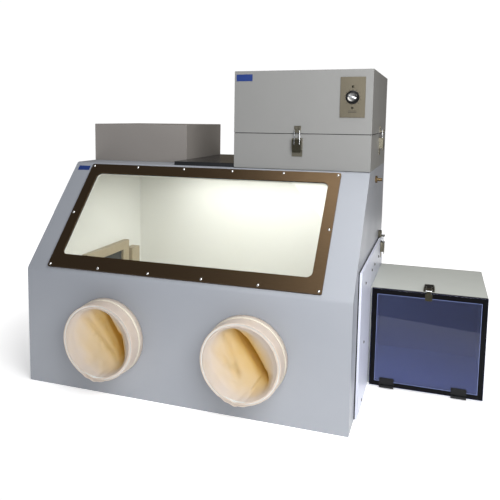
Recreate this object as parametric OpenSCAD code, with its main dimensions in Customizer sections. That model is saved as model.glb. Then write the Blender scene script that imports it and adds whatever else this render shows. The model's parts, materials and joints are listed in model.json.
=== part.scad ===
// Laboratory glove box with a filtered blower, a light hood and a transfer chamber.
// Origin: centre of the cabinet's base. +X points to the transfer chamber,
// -Y to the operator and +Z up. All sizes are millimetres.

/* [Cabinet] */
// Width of the cabinet
body_w = 960; // [950:5:1000]
// Depth of the cabinet at its base
body_d = 740; // [735:5:780]
// Height of the roof above the base
body_h = 650; // [645:5:670]
// Height of the fold where the vertical front meets the sloped window panel
front_h = 350; // [345:5:360]
// Depth of the sloped window panel, seen from above
slope_run = 285; // [280:5:300]
// Thickness of the cabinet's walls
wall = 6; // [5:0.5:6.5]
// Outside radius of the two folds in the front sheet
fold_r = 20; // [14:1:24]

/* [Window] */
// Width of the brown window frame
frame_w = 814; // [790:2:830]
// Length of the window frame along the slope
frame_l = 392; // [380:2:396]
// Width of the frame's two sides
frame_side = 32; // [28:1:36]
// Width of the frame's top
frame_top = 36; // [30:1:38]
// Width of the frame's bottom
frame_bottom = 45; // [40:1:48]
// Sideways place of the window's centre
window_x = -6; // [-10:1:10]
// Distance from the lower fold to the frame's lower edge
window_start = 10.5; // [9:0.5:11]

/* [Glove ports] */
// Distance of each port from the cabinet's centre line
port_x = 208; // [200:2:216]
// Height of the ports' centres
port_z = 174; // [165:1:185]
// Outside radius of a glove cuff stretched over its ring
cuff_r = 109; // [107:1:112]
// Length of a port in front of the panel
port_len = 63; // [55:1:70]

/* [Roof units] */
// Width of the light hood
hood_w = 349; // [340:1:355]
// Depth of the light hood
hood_d = 340; // [330:2:345]
// Height of the light hood
hood_h = 127; // [110:1:140]
// Width of the filter and blower unit
unit_w = 408; // [400:2:420]
// Height of the filter housing, up to the seam
unit_seam_h = 105; // [95:1:115]
// Height of the whole filter and blower unit
unit_h = 290; // [280:2:300]
// Thickness of the sheet that both units are folded from
sheet = 2; // [1.5:0.5:2.5]

/* [Transfer chamber] */
// Distance from the chamber's flange to its outer end
chamber_w = 321; // [310:1:340]
// Place of the door's front face along Y
door_face_y = -40; // [-50:1:-30]
// Depth of the chamber with its door
chamber_d = 342; // [330:1:350]
// Height of the chamber's top above the base
chamber_top = 304; // [295:1:310]
// Height of the chamber's bottom above the base
chamber_base = 6; // [6:1:8]
// Thickness of the chamber's walls
chamber_wall = 5; // [4:0.5:6]
// Thickness of the smoked door pane
pane_t = 8; // [6:1:8]

/* [Hidden] */

$fn = 48;
eps = 1;
half_w = body_w / 2;
front_y = -body_d / 2;
back_y = body_d / 2;
rise = body_h - front_h;
slope_angle = atan2(rise, slope_run);
slope_len = sqrt(rise * rise + slope_run * slope_run);
lower_tangent = fold_r * tan((90 - slope_angle) / 2);
upper_tangent = fold_r * tan(slope_angle / 2);
lower_fold = [front_y + fold_r, front_h - lower_tangent];
upper_fold = [front_y + slope_run + upper_tangent, body_h - fold_r];
roof_front_y = front_y + slope_run;
slope_out = [-sin(slope_angle), cos(slope_angle)];

// Window: the seal and pane lie under the frame's rebated inner edge
open_w = frame_w - 2 * frame_side;
open_l = frame_l - frame_top - frame_bottom;
open_v = window_start + frame_bottom + open_l / 2;
frame_v = window_start + frame_l / 2;
open_r = 16;
pane_lap = 12;
window_seal_t = 1;
window_pane_t = 3;
frame_t = 6;
screw_r = 2;

// Glove port rings and gloves
cuff_t = 1.6;
ring_r = cuff_r - cuff_t - 0.9;
ring_t = 7;
ring_bore = ring_r - ring_t;
ring_front = front_y - port_len + cuff_t + 0.4;
glove_sides = 48;

// Filter and blower unit
unit_x0 = half_w - unit_w;
seam_z = body_h + unit_seam_h;
unit_top = body_h + unit_h;
seal_t = 2;
unit_mid = [unit_x0 + unit_w / 2, (roof_front_y + back_y) / 2];
filter_open = [300, 330];
blower_z = seam_z + seal_t + 20;
blower_h = 70;
blower_r = 105;

// Light hood
hood_y0 = back_y - hood_d - 2;
hood_open = [269, 260];
hood_mid = [-half_w + hood_w / 2, hood_y0 + hood_d / 2];
lamp_y = [hood_mid[1] - 58, hood_mid[1] + 58];
lamp_z = body_h + 60;
lamp_half = 130;

// Transfer chamber
gasket_t = 3;
flange_t = 6;
flange_x = half_w + gasket_t + flange_t;
flange_y = [-275, 330];
flange_top = 402;
flange_base = 4;
chamber_x1 = flange_x + chamber_w;
door_x0 = flange_x + 5;
door_seal_t = 3.7;
seal_gap = 0.3;
shell_y0 = door_face_y + pane_t + seal_gap + door_seal_t;
shell_y1 = door_face_y + chamber_d;
bore_y = [shell_y0 + chamber_wall, shell_y1 - chamber_wall];
bore_z = [chamber_base + chamber_wall, chamber_top - chamber_wall];
pass_y = [-20, 290];
pass_z = [16, 292];

// Hinges: shared by the outer and the inner chamber door
hinge_w = 42;
knuckle_r = 4;
pin_r = 2;
pin_clear = 0.05;
leaf_t = 2;
outer_axis = [door_face_y - knuckle_r, chamber_base + knuckle_r - leaf_t];
outer_hinge_x = [545, 745];
inner_face = half_w - wall - 12;
inner_axis = [inner_face - knuckle_r, 306];
inner_hinge_z = [70, 235];

// Draw latches: u runs across the joint, the lever turns about pivot_u, pivot_n
latch_w = 29;
pivot_n = 8;
pivot_u = -20;
bail_u = -30;
hook_u = 10;
bail_x = 8;
wire_r = 1.2;
stub_r = 1.5;
front_latch_x = 268;
side_latch_y = 160;
flange_latch_y = 255;
door_latch_at = [(door_x0 + chamber_x1) / 2, door_face_y + 4, chamber_top];

// Speed control
plate_mid = [424, 861];
plate_size = [70, 114.3];
plate_t = 3;

// Gas fitting, and the inlet filter on the left wall
fitting_at = [74, 616];
fitting_r = 6;
filter_y = [-79, 225];
filter_z = [60, 330];
filter_rim = [46, 32];

// ---------- shared shapes ----------

// Moves children onto the sloped panel: +Y runs up the slope, +Z out of it
module on_slope() {
    translate([0, front_y, front_h]) rotate([slope_angle, 0, 0]) children();
}

// Flat plate with rounded corners, centred in X and Y
module rounded_plate(size, r, t) {
    translate([-size[0] / 2 + r, -size[1] / 2, 0]) cube([size[0] - 2 * r, size[1], t]);
    translate([-size[0] / 2, -size[1] / 2 + r, 0]) cube([size[0], size[1] - 2 * r, t]);
    for (sx = [-1, 1], sy = [-1, 1])
        translate([sx * (size[0] / 2 - r), sy * (size[1] / 2 - r), 0]) cylinder(r = r, h = t);
}

// Outline of the cabinet in Y and Z, with its two folds rounded by r
module side_outline(r) {
    inset = fold_r - r;
    polygon([
        [front_y + inset, 0], [back_y - wall, 0], [back_y - wall, body_h - inset],
        [upper_fold[0], body_h - inset], upper_fold + r * slope_out, lower_fold + r * slope_out,
        [front_y + inset, lower_fold[1]]
    ]);
    translate(upper_fold) circle(r = r, $fn = 96);
    translate(lower_fold) circle(r = r, $fn = 96);
}

// Length of the folded front sheet that lies inside an area of Y and Z
module front_sheet(area) {
    translate([-half_w, 0, 0]) rotate([90, 0, 90]) linear_extrude(body_w) intersection() {
        difference() {
            side_outline(fold_r);
            side_outline(fold_r - wall);
        }
        polygon(area);
    }
}

// Box between two corners
module block(low, high) {
    translate(low) cube(high - low);
}

// Rod along X between two places
module rod_x(x0, x1, y, z, r) {
    translate([x0, y, z]) rotate([0, 90, 0]) cylinder(r = r, h = x1 - x0);
}

// Rod along Y between two places
module rod_y(x, y0, y1, z, r) {
    translate([x, y0, z]) rotate([-90, 0, 0]) cylinder(r = r, h = y1 - y0);
}

// ---------- cabinet ----------

module floor_panel() {
    color("gainsboro")
        block([-half_w + wall, front_y + wall, 0], [half_w - wall, back_y - wall, wall]);
}

module front_panel() {
    color("lightsteelblue") difference() {
        front_sheet([
            [front_y + fold_r, -eps], lower_fold, lower_fold + 60 * slope_out,
            [front_y - 60, front_h + 60], [front_y - 60, -eps]
        ]);
        for (side = [-1, 1])
            rod_y(side * port_x, front_y - eps, front_y + wall + eps, port_z, ring_r);
    }
}

module window_panel() {
    color("lightsteelblue") difference() {
        front_sheet([
            lower_fold, lower_fold + 60 * slope_out, [upper_fold[0], body_h + 60], upper_fold
        ]);
        on_slope() translate([window_x, open_v, -wall - eps])
            rounded_plate([open_w, open_l], open_r, wall + 2 * eps);
        window_screw_places() translate([0, 0, -wall - eps]) cylinder(r = screw_r, h = wall + 2 * eps);
    }
}

module roof_opening(mid, size) {
    translate([mid[0] - size[0] / 2, mid[1] - size[1] / 2, body_h - wall - eps])
        cube([size[0], size[1], wall + 2 * eps]);
}

module roof_panel() {
    color("lightsteelblue") difference() {
        block([-half_w, upper_fold[0], body_h - wall], [half_w, back_y - wall, body_h]);
        roof_opening(unit_mid, filter_open);
        roof_opening(hood_mid, hood_open);
    }
}

// Side wall that fits inside the folded front sheet
module side_wall(x) {
    translate([x, 0, 0]) rotate([90, 0, 90]) linear_extrude(wall) side_outline(fold_r - wall);
}

module left_side_panel() { color("lightsteelblue") side_wall(-half_w); }

module right_side_panel() {
    color("lightsteelblue") difference() {
        side_wall(half_w - wall);
        block([half_w - wall - eps, pass_y[0], pass_z[0]], [half_w + eps, pass_y[1], pass_z[1]]);
        flange_screw_places() rod_x(half_w - wall - eps, half_w + eps, 0, 0, screw_r);
        translate([0, fitting_at[0], fitting_at[1]])
            rod_x(half_w - wall - eps, half_w + eps, 0, 0, fitting_r);
    }
}

module back_panel() {
    color("lightsteelblue") block([-half_w, back_y - wall, 0], [half_w, back_y, body_h]);
}

// Black mat on the roof between the light hood and the filter unit
module roof_mat() {
    color([0.1, 0.1, 0.1])
        block([-half_w + hood_w + 1, roof_front_y + 8, body_h], [unit_x0 - 1, back_y - 2, body_h + 12]);
}

// ---------- window ----------

module window_screw_places() {
    edge = 8;
    x1 = frame_w / 2 - edge;
    v0 = window_start + edge;
    v1 = window_start + frame_l - edge;
    on_slope() for (i = [0:5], v = [v0, v1])
        translate([window_x - x1 + i * x1 * 2 / 5, v, 0]) children();
    on_slope() for (side = [-1, 1]) translate([window_x + side * x1, frame_v, 0]) children();
}

module window_seal() {
    color("dimgray") on_slope() translate([window_x, open_v, 0]) difference() {
        rounded_plate([open_w + 2 * pane_lap, open_l + 2 * pane_lap], open_r, window_seal_t);
        translate([0, 0, -eps]) rounded_plate([open_w, open_l], open_r, window_seal_t + 2 * eps);
    }
}

module window_pane() {
    color([0.8, 0.9, 0.9, 0.4]) on_slope() translate([window_x, open_v, window_seal_t])
        rounded_plate([open_w + 2 * pane_lap, open_l + 2 * pane_lap], open_r, window_pane_t);
}

module window_frame() {
    slack = 0.5;
    color([0.36, 0.27, 0.18]) difference() {
        on_slope() translate([window_x, frame_v, 0]) rounded_plate([frame_w, frame_l], 5, frame_t);
        on_slope() translate([window_x, open_v, -eps]) {
            rounded_plate([open_w, open_l], open_r, frame_t + 2 * eps);
            rounded_plate([open_w + 2 * (pane_lap + slack), open_l + 2 * (pane_lap + slack)],
                open_r + slack, eps + window_seal_t + window_pane_t);
        }
        window_screw_places() translate([0, 0, -eps]) cylinder(r = screw_r, h = frame_t + 2 * eps);
    }
}

// Dome-headed screw standing on a face at z = 0, with its shank below
module dome_screw(head_r, head_h, shank) {
    ball = (head_r * head_r + head_h * head_h) / (2 * head_h);
    intersection() {
        translate([0, 0, head_h - ball]) sphere(r = ball);
        cylinder(r = head_r + eps, h = head_h + eps);
    }
    translate([0, 0, -shank]) cylinder(r = screw_r, h = shank);
}

module window_screws() {
    color("silver") window_screw_places() translate([0, 0, frame_t]) dome_screw(4.2, 2.6, 10);
}

// ---------- glove ports ----------

module port_ring(side) {
    color("whitesmoke") translate([side * port_x, 0, port_z]) rotate([-90, 0, 0]) {
        translate([0, 0, ring_front]) difference() {
            cylinder(r = ring_r, h = front_y + wall - ring_front);
            translate([0, 0, -eps]) cylinder(r = ring_bore, h = port_len + 20);
        }
        translate([0, 0, front_y + wall]) difference() {
            cylinder(r = ring_r + 16, h = 5);
            translate([0, 0, -eps]) cylinder(r = ring_bore, h = 5 + 2 * eps);
        }
    }
}

// Flat rubber bands that hold the cuffs on the rings
module cuff_bands() {
    color("ivory") for (side = [-1, 1])
        translate([side * port_x, front_y - 24, port_z]) rotate([-90, 0, 0]) difference() {
            cylinder(r = cuff_r + 2, h = 9, $fn = 96);
            translate([0, 0, -eps]) cylinder(r = cuff_r + 0.2, h = 9 + 2 * eps, $fn = 96);
        }
}

// Arm line of a glove inside the cabinet: place along Y, height, radius and tilt
arm = [
    [front_y + 30, 0, 92, 2], [front_y + 75, -5, 84, 10], [front_y + 115, -16, 76, 18],
    [front_y + 155, -32, 68, 24], [front_y + 195, -52, 60, 28], [front_y + 235, -74, 52, 28],
    [front_y + 270, -92, 46, 25], [front_y + 300, -104, 44, 20], [front_y + 325, -112, 40, 16],
    [front_y + 343, -116, 30, 14], [front_y + 352, -118, 12, 12]
];

// Ring of points of radius r about the arm line, leaning by tilt degrees
function arm_ring(at, grow) = [
    for (k = [0:glove_sides - 1])
        let (a = 360 * k / glove_sides, r = at[2] + grow)
        [r * cos(a), at[0] + r * sin(a) * sin(at[3]), at[1] + r * sin(a) * cos(at[3])]
];

// The glove is one closed skin: from the fingertips along its outside, over the
// port ring as a cuff, and back along its inside
module glove(side) {
    rows = len(arm);
    skin = [
        for (i = [rows - 1:-1:0]) arm_ring(arm[i], 0),
        arm_ring([front_y + 2, 0, ring_bore - 0.6, 0], 0),
        arm_ring([ring_front - 0.4, 0, ring_bore - 0.6, 0], 0),
        arm_ring([ring_front - 0.4, 0, cuff_r - cuff_t, 0], 0),
        arm_ring([front_y - 1, 0, cuff_r - cuff_t, 0], 0),
        arm_ring([front_y - 1, 0, cuff_r, 0], 0),
        arm_ring([ring_front - 0.4 - cuff_t, 0, cuff_r, 0], 0),
        arm_ring([ring_front - 0.4 - cuff_t, 0, ring_bore - 0.6 - cuff_t, 0], 0),
        arm_ring([front_y + 2, 0, ring_bore - 0.6 - cuff_t, 0], 0),
        for (i = [0:rows - 2]) arm_ring(arm[i], -cuff_t)
    ];
    count = len(skin);
    points = [for (ring = skin) each ring];
    walls = [
        for (j = [0:count - 2], k = [0:glove_sides - 1])
            let (next = (k + 1) % glove_sides)
            [j * glove_sides + k, (j + 1) * glove_sides + k,
                (j + 1) * glove_sides + next, j * glove_sides + next]
    ];
    first_cap = [for (k = [0:glove_sides - 1]) k];
    last_cap = [for (k = [glove_sides - 1:-1:0]) (count - 1) * glove_sides + k];
    color([0.95, 0.87, 0.72]) translate([side * port_x, 0, port_z])
        polyhedron(points = points, faces = concat([first_cap], walls, [last_cap]));
}

// ---------- light hood ----------

module light_housing() {
    low = [-half_w, hood_y0, body_h];
    high = [-half_w + hood_w, hood_y0 + hood_d, body_h + hood_h];
    color("darkgray") difference() {
        block(low, high);
        block([low[0] + sheet, low[1] + sheet, low[2] - eps], high - [sheet, sheet, sheet]);
    }
}

module light_lens() {
    size = [hood_open[0] + 20, hood_open[1] + 20, 3];
    color([1, 1, 1, 0.6])
        translate([hood_mid[0] - size[0] / 2, hood_mid[1] - size[1] / 2, body_h]) cube(size);
}

module lamp_tubes() {
    color("white") for (y = lamp_y)
        rod_x(hood_mid[0] - lamp_half, hood_mid[0] + lamp_half, y, lamp_z, 8);
}

// Lamp sockets hang from the hood's top sheet
module lamp_holders() {
    color("ivory") for (y = lamp_y, side = [-1, 1])
        translate([hood_mid[0] + side * (lamp_half + 6) - 6, y - 12, lamp_z - 12])
            cube([12, 24, body_h + hood_h - sheet - lamp_z + 12]);
}

// ---------- filter and blower unit ----------

module filter_housing() {
    color("lightslategray") difference() {
        block([unit_x0, roof_front_y, body_h], [half_w, back_y, seam_z]);
        block([unit_x0 + sheet, roof_front_y + sheet, body_h - eps],
            [half_w - sheet, back_y - sheet, seam_z + eps]);
    }
}

module filter_seal() {
    inset = 1;
    land = 14;
    color("black") difference() {
        block([unit_x0 + inset, roof_front_y + inset, seam_z],
            [half_w - inset, back_y - inset, seam_z + seal_t]);
        block([unit_x0 + land, roof_front_y + land, seam_z - eps],
            [half_w - land, back_y - land, seam_z + seal_t + eps]);
    }
}

module blower_cover() {
    color("lightslategray") difference() {
        block([unit_x0, roof_front_y, seam_z + seal_t], [half_w, back_y, unit_top]);
        block([unit_x0 + sheet, roof_front_y + sheet, seam_z],
            [half_w - sheet, back_y - sheet, unit_top - sheet]);
        translate([plate_mid[0], 0, plate_mid[1]])
            rod_y(0, roof_front_y - eps, roof_front_y + sheet + eps, 0, 8);
        control_screw_places() rod_y(0, roof_front_y - eps, roof_front_y + sheet + eps, 0, screw_r);
    }
}

// Framed pack of pleated paper that fills the filter housing
module hepa_filter() {
    size = [360, 400, 68];
    color("white")
        translate([unit_mid[0] - size[0] / 2, unit_mid[1] - size[1] / 2, body_h + 20]) cube(size);
    for (sx = [-1, 1])
        color("silver") translate([unit_mid[0] + sx * 170 - 10, unit_mid[1] - 200, body_h])
            cube([20, size[1], 20]);
}

// Blower scroll: a drum with an inlet eye on top and an outlet in its floor
module blower_scroll() {
    color("silver") translate([unit_mid[0], unit_mid[1], blower_z]) difference() {
        cylinder(r = blower_r, h = blower_h, $fn = 96);
        translate([0, 0, sheet]) cylinder(r = blower_r - sheet, h = blower_h - 2 * sheet, $fn = 96);
        translate([0, 0, sheet]) cylinder(r = 55, h = blower_h);
        translate([0, 0, -eps]) cylinder(r = 60, h = 2 * sheet);
    }
}

module blower_motor() {
    color("dimgray") translate([unit_mid[0], unit_mid[1], blower_z]) difference() {
        union() {
            translate([0, 0, -18]) cylinder(r = 34, h = 34);
            for (y = [-30, 18]) translate([sheet - unit_w / 2, y, -18]) cube([unit_w - 2 * sheet, 12, 8]);
            for (x = [-90, 78], y = [-30, 18]) translate([x, y, -10]) cube([12, 12, 10]);
        }
        translate([0, 0, -eps]) cylinder(r = 4 + pin_clear, h = 40);
    }
}

// Squirrel-cage wheel on the motor's shaft
module impeller() {
    blades = 24;
    wheel_r = 88;
    color("gainsboro") translate([unit_mid[0], unit_mid[1], blower_z]) {
        cylinder(r = 4, h = 24);
        translate([0, 0, 20]) cylinder(r = wheel_r, h = 2);
        translate([0, 0, 20]) cylinder(r = 12, h = 12);
        translate([0, 0, 58]) difference() {
            cylinder(r = wheel_r, h = 3);
            translate([0, 0, -eps]) cylinder(r = wheel_r - 20, h = 5);
        }
        for (i = [0:blades - 1]) rotate([0, 0, 360 * i / blades])
            translate([wheel_r - 17, 0, 21]) rotate([0, 0, 25]) cube([15, 1.5, 38]);
    }
}

// ---------- draw latches ----------
// Each is drawn on a wall that faces -Y, with the joint at z = 0 and the lever below it

module latch_base() {
    block([-latch_w / 2 - 1, -1.6, -66], [latch_w / 2 + 1, 0, -12]);
    for (side = [-1, 1]) {
        translate([side * (latch_w / 2 - 0.75) - 0.75, -12, -46]) cube([1.5, 11, 32]);
        rod_x(side > 0 ? 10.6 : -latch_w / 2 + 0.5, side > 0 ? latch_w / 2 - 0.5 : -10.6,
            -pivot_n, pivot_u, stub_r);
    }
}

module latch_lever() {
    difference() {
        union() {
            block([-12.5, -12, -54], [12.5, -10.6, -16]);
            for (side = [-1, 1])
                translate([side * 11.7 - 0.8, -12, -34]) cube([1.6, 7.5, 18]);
        }
        for (side = [-1, 1])
            translate([side * bail_x - 1.8, -12 - eps, -32]) cube([3.6, 2 * eps + 1.4, 17]);
        rod_x(-20, 20, -pivot_n, pivot_u, stub_r + pin_clear);
        rod_x(-20, 20, -pivot_n, bail_u, wire_r + pin_clear);
    }
}

// Wire loop: two legs, a hooking bar and two turned-out feet in the lever
module latch_bail() {
    for (side = [-1, 1]) {
        translate([side * bail_x, -pivot_n, bail_u]) cylinder(r = wire_r, h = hook_u - bail_u);
        translate([side * bail_x, -pivot_n, bail_u]) sphere(r = wire_r);
        translate([side * bail_x, -pivot_n, hook_u]) sphere(r = wire_r);
        rod_x(side > 0 ? bail_x : -12.4, side > 0 ? 12.4 : -bail_x, -pivot_n, bail_u, wire_r);
    }
    rod_x(-bail_x, bail_x, -pivot_n, hook_u, wire_r);
}

module latch_keeper() {
    block([-10, -1.6, 3], [10, 0, 24]);
    block([-6, -12.4, 5], [6, -1, 8.6]);
    block([-6, -12.4, 5], [6, -10.8, 11.5]);
    for (side = [-1, 1]) translate([side * 5, -1.6, 18]) rotate([90, 0, 0]) cylinder(r = 2.4, h = 1);
}

module at_front_latch() { translate([front_latch_x, roof_front_y, seam_z]) children(); }
module at_side_latch() { translate([half_w, side_latch_y, seam_z]) rotate([0, 0, 90]) children(); }
module at_flange_latch() {
    translate([flange_x, flange_latch_y, flange_top]) rotate([0, 0, 90]) children();
}
module at_door_latch() { translate(door_latch_at) rotate([-90, 0, 180]) children(); }

module latch_bases() {
    color("darkgray") {
        at_front_latch() latch_base();
        at_side_latch() latch_base();
        at_flange_latch() latch_base();
        at_door_latch() latch_base();
    }
}

// Keepers of the latches on fixed joints; the flange's keeper stands on a packing block
module latch_keepers() {
    pack_t = gasket_t + flange_t;
    color("darkgray") {
        at_front_latch() latch_keeper();
        at_side_latch() latch_keeper();
        at_flange_latch() latch_keeper();
        at_flange_latch() block([-10, 0, 3], [10, pack_t, 24]);
    }
}

module front_latch_lever() { color("dimgray") at_front_latch() latch_lever(); }
module front_latch_bail() { color("silver") at_front_latch() latch_bail(); }
module side_latch_lever() { color("silver") at_side_latch() latch_lever(); }
module side_latch_bail() { color("silver") at_side_latch() latch_bail(); }
module flange_latch_lever() { color("gray") at_flange_latch() latch_lever(); }
module flange_latch_bail() { color("silver") at_flange_latch() latch_bail(); }
module door_latch_lever() { color([0.1, 0.1, 0.1]) at_door_latch() latch_lever(); }
module door_latch_bail() { color("silver") at_door_latch() latch_bail(); }

// Strike on the outer door: its top passes just under the bail's bar
module door_latch_keeper() {
    color("silver") at_door_latch() {
        block([-10, 2, 4], [10, 22, 5.6]);
        block([-6, -6.3, 5], [6, 22, 8.6]);
    }
}

// ---------- speed control ----------

module control_screw_places() {
    for (side = [-1, 1]) translate([plate_mid[0], 0, plate_mid[1] + side * 30]) children();
}

module control_plate() {
    color("tan") difference() {
        translate([plate_mid[0], roof_front_y - plate_t / 2, plate_mid[1]])
            cube([plate_size[0], plate_t, plate_size[1]], center = true);
        rod_y(plate_mid[0], roof_front_y - 10, roof_front_y + eps, plate_mid[1], 6);
        control_screw_places() rod_y(0, roof_front_y - 10, roof_front_y + eps, 0, screw_r);
    }
}

module control_screws() {
    color("silver") control_screw_places()
        translate([0, roof_front_y - plate_t, 0]) rotate([90, 0, 0]) dome_screw(3.4, 1.6, 8);
}

// Knob with a black skirt, a bright cap and a finger bar; its shaft reaches the control
module speed_knob() {
    face = roof_front_y - plate_t - 0.5;
    color([0.1, 0.1, 0.1]) translate([plate_mid[0], face, plate_mid[1]]) rotate([90, 0, 0]) {
        cylinder(r = 19, h = 5);
        cylinder(r = 15.5, h = 12);
        translate([-15.2, -2.5, 12]) cube([30.4, 5, 4]);
        translate([0, 0, -30]) cylinder(r = 3, h = 31);
    }
}

module speed_control() {
    color("dimgray") difference() {
        translate([plate_mid[0] - 23, roof_front_y + sheet, plate_mid[1] - 28]) cube([46, 32, 56]);
        rod_y(plate_mid[0], roof_front_y, roof_front_y + 31, plate_mid[1], 3 + pin_clear);
        control_screw_places() rod_y(0, roof_front_y, roof_front_y + 10, 0, screw_r);
    }
}

// Blank name plates on the blower cover and on the sloped panel
module label_plates() {
    color("midnightblue") {
        translate([unit_x0 + 6, roof_front_y - 0.6, unit_top - 30]) cube([50, 0.6, 20]);
        on_slope() translate([-half_w + 14, slope_len - 34, 0]) cube([42, 18, 0.6]);
    }
}

// ---------- right side ----------

// Brass bulkhead fitting for the purge gas line
module gas_fitting() {
    color("peru") translate([half_w, fitting_at[0], fitting_at[1]]) difference() {
        union() {
            rotate([0, 90, 0]) cylinder(r = 11, h = 6, $fn = 6);
            rod_x(5, 20, 0, 0, 5);
            rod_x(-16, 1, 0, 0, fitting_r);
            translate([-wall - 5, 0, 0]) rotate([0, 90, 0]) cylinder(r = 11, h = 5, $fn = 6);
        }
        rod_x(-20, 25, 0, 0, 3);
    }
}

module flange_outline(x0, x1) {
    difference() {
        block([x0, flange_y[0], flange_base], [x1, flange_y[1], flange_top]);
        block([x0 - eps, bore_y[0], bore_z[0]], [x1 + eps, bore_y[1], bore_z[1]]);
        flange_screw_places() rod_x(x0 - eps, x1 + eps, 0, 0, screw_r);
    }
}

// Screws around the flange, clear of the chamber
module flange_screw_places() {
    for (y = [-180, flange_y[1] - 14], z = [18, 353]) translate([0, y, z]) children();
    for (y = [-20, 60, 180]) translate([0, y, 353]) children();
    translate([0, -180, 186]) children();
}

module chamber_gasket() { color("dimgray") flange_outline(half_w, half_w + gasket_t); }
module chamber_flange() { color("whitesmoke") flange_outline(half_w + gasket_t, flange_x); }

module flange_screws() {
    color("dimgray") flange_screw_places()
        translate([flange_x, 0, 0]) rotate([0, 90, 0]) dome_screw(4.5, 2.6, 18);
}

// Box of the chamber: open to the cabinet on its left and to the door in front
module chamber_shell() {
    color("lightgray") difference() {
        block([flange_x, shell_y0, chamber_base], [chamber_x1, shell_y1, chamber_top]);
        block([flange_x - eps, shell_y0 - eps, bore_z[0]],
            [chamber_x1 - chamber_wall, bore_y[1], bore_z[1]]);
    }
    color("lightgray") block([flange_x, shell_y0, bore_z[0] - 0.5],
        [flange_x + chamber_wall, bore_y[0], bore_z[1] + 0.5]);
}

module outer_door_seal() {
    y0 = door_face_y + pane_t + seal_gap;
    seal_w = 16;
    color([0.1, 0.1, 0.1]) difference() {
        block([door_x0, y0, chamber_base], [chamber_x1, shell_y0, chamber_top]);
        block([door_x0 + seal_w, y0 - eps, chamber_base + seal_w],
            [chamber_x1 - seal_w, shell_y0 + eps, chamber_top - seal_w]);
    }
}

module outer_door() {
    color([0.25, 0.28, 0.38, 0.8])
        block([door_x0, door_face_y, chamber_base + 0.5], [chamber_x1, door_face_y + pane_t, chamber_top]);
}

// Three-part hinge barrel along X at the origin; fixed = true draws the outer two
module barrel(fixed) {
    third = hinge_w / 3;
    gap = 0.4;
    for (x = fixed ? [-hinge_w / 2, hinge_w / 2 - third] : [-third / 2])
        rod_x(fixed ? x : x + gap, x + third - (fixed ? 0 : gap), 0, 0, knuckle_r);
}

// Fixed half drawn for the outer door: the leaf runs back under the chamber
module hinge_base() {
    third = hinge_w / 3;
    difference() {
        union() {
            barrel(true);
            for (x = [-hinge_w / 2, hinge_w / 2 - third])
                block([x, 0, -4], [x + third, 16, -4 + leaf_t]);
            block([-hinge_w / 2, 14, -4], [hinge_w / 2, 40, -4 + leaf_t]);
        }
        rod_x(-hinge_w, hinge_w, 0, 0, pin_r + pin_clear);
    }
    rod_x(-hinge_w / 2, hinge_w / 2, 0, 0, pin_r);
}

// Moving half drawn for the outer door: the leaf lies on the door's front face
module hinge_leaf() {
    third = hinge_w / 3;
    gap = 0.4;
    difference() {
        union() {
            barrel(false);
            block([-third / 2 + gap, 4 - leaf_t, 0], [third / 2 - gap, 4, 12]);
            block([-hinge_w / 2, 4 - leaf_t, 5], [hinge_w / 2, 4, 26]);
        }
        rod_x(-hinge_w, hinge_w, 0, 0, pin_r + pin_clear);
    }
}

module at_outer_hinges() {
    for (x = outer_hinge_x) translate([x, outer_axis[0], outer_axis[1]]) children();
}

// The inner hinges stand upright at the rear of the inner door
module at_inner_hinges() {
    for (z = inner_hinge_z) translate([inner_axis[0], inner_axis[1], z]) children();
}

// Fixed halves and pins of all the hinges
module hinge_bases() {
    color([0.12, 0.12, 0.12]) {
        at_outer_hinges() hinge_base();
        at_inner_hinges() inner_hinge_base();
    }
}

// Upright barrel along Z at the origin
module upright_barrel(fixed, r) {
    third = hinge_w / 3;
    gap = 0.4;
    for (z = fixed ? [-hinge_w / 2, hinge_w / 2 - third] : [-third / 2])
        translate([0, 0, fixed ? z : z + gap]) cylinder(r = r, h = third - (fixed ? 0 : 2 * gap));
}

// Fixed half of an inner hinge, on a packing block against the side wall
module inner_hinge_base() {
    third = hinge_w / 3;
    difference() {
        union() {
            upright_barrel(true, knuckle_r);
            for (z = [-hinge_w / 2, hinge_w / 2 - third])
                block([0, 0, z], [leaf_t, 8, z + third]);
            block([0, 7, -hinge_w / 2], [12 + knuckle_r, 28, hinge_w / 2]);
        }
        translate([0, 0, -hinge_w]) cylinder(r = pin_r + pin_clear, h = 2 * hinge_w);
    }
    translate([0, 0, -hinge_w / 2]) cylinder(r = pin_r, h = hinge_w);
}

// Moving half of an inner hinge, on the inner door's face
module inner_hinge_leaf() {
    third = hinge_w / 3;
    gap = 0.4;
    difference() {
        union() {
            upright_barrel(false, knuckle_r);
            block([4 - leaf_t, -12, -third / 2 + gap], [4, 0, third / 2 - gap]);
            block([4 - leaf_t, -28, -hinge_w / 2], [4, -5, hinge_w / 2]);
        }
        translate([0, 0, -hinge_w]) cylinder(r = pin_r + pin_clear, h = 2 * hinge_w);
    }
}

module outer_hinge_leaves() { color([0.12, 0.12, 0.12]) at_outer_hinges() hinge_leaf(); }

module inner_hinge_leaves() { color([0.12, 0.12, 0.12]) at_inner_hinges() inner_hinge_leaf(); }

module inner_door() {
    color([0.85, 0.87, 0.9, 0.6])
        block([inner_face, pass_y[0] - 12, 9], [inner_face + 8, pass_y[1] + 11, pass_z[1] + 12]);
}

module inner_door_seal() {
    x0 = inner_face + 8 + seal_gap;
    color([0.1, 0.1, 0.1]) difference() {
        block([x0, pass_y[0] - 10, 10], [half_w - wall, pass_y[1] + 9, pass_z[1] + 10]);
        block([x0 - eps, pass_y[0], pass_z[0]], [half_w, pass_y[1], pass_z[1]]);
    }
}

// Pull handle on the inner door's free edge
module inner_door_handle() {
    color("silver") {
        for (z = [115, 205]) rod_x(inner_face - 30, inner_face, pass_y[0] + 14, z, 4);
        translate([inner_face - 30, pass_y[0] + 14, 105]) cylinder(r = 5, h = 110);
    }
}

// ---------- inside the left wall ----------

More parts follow.
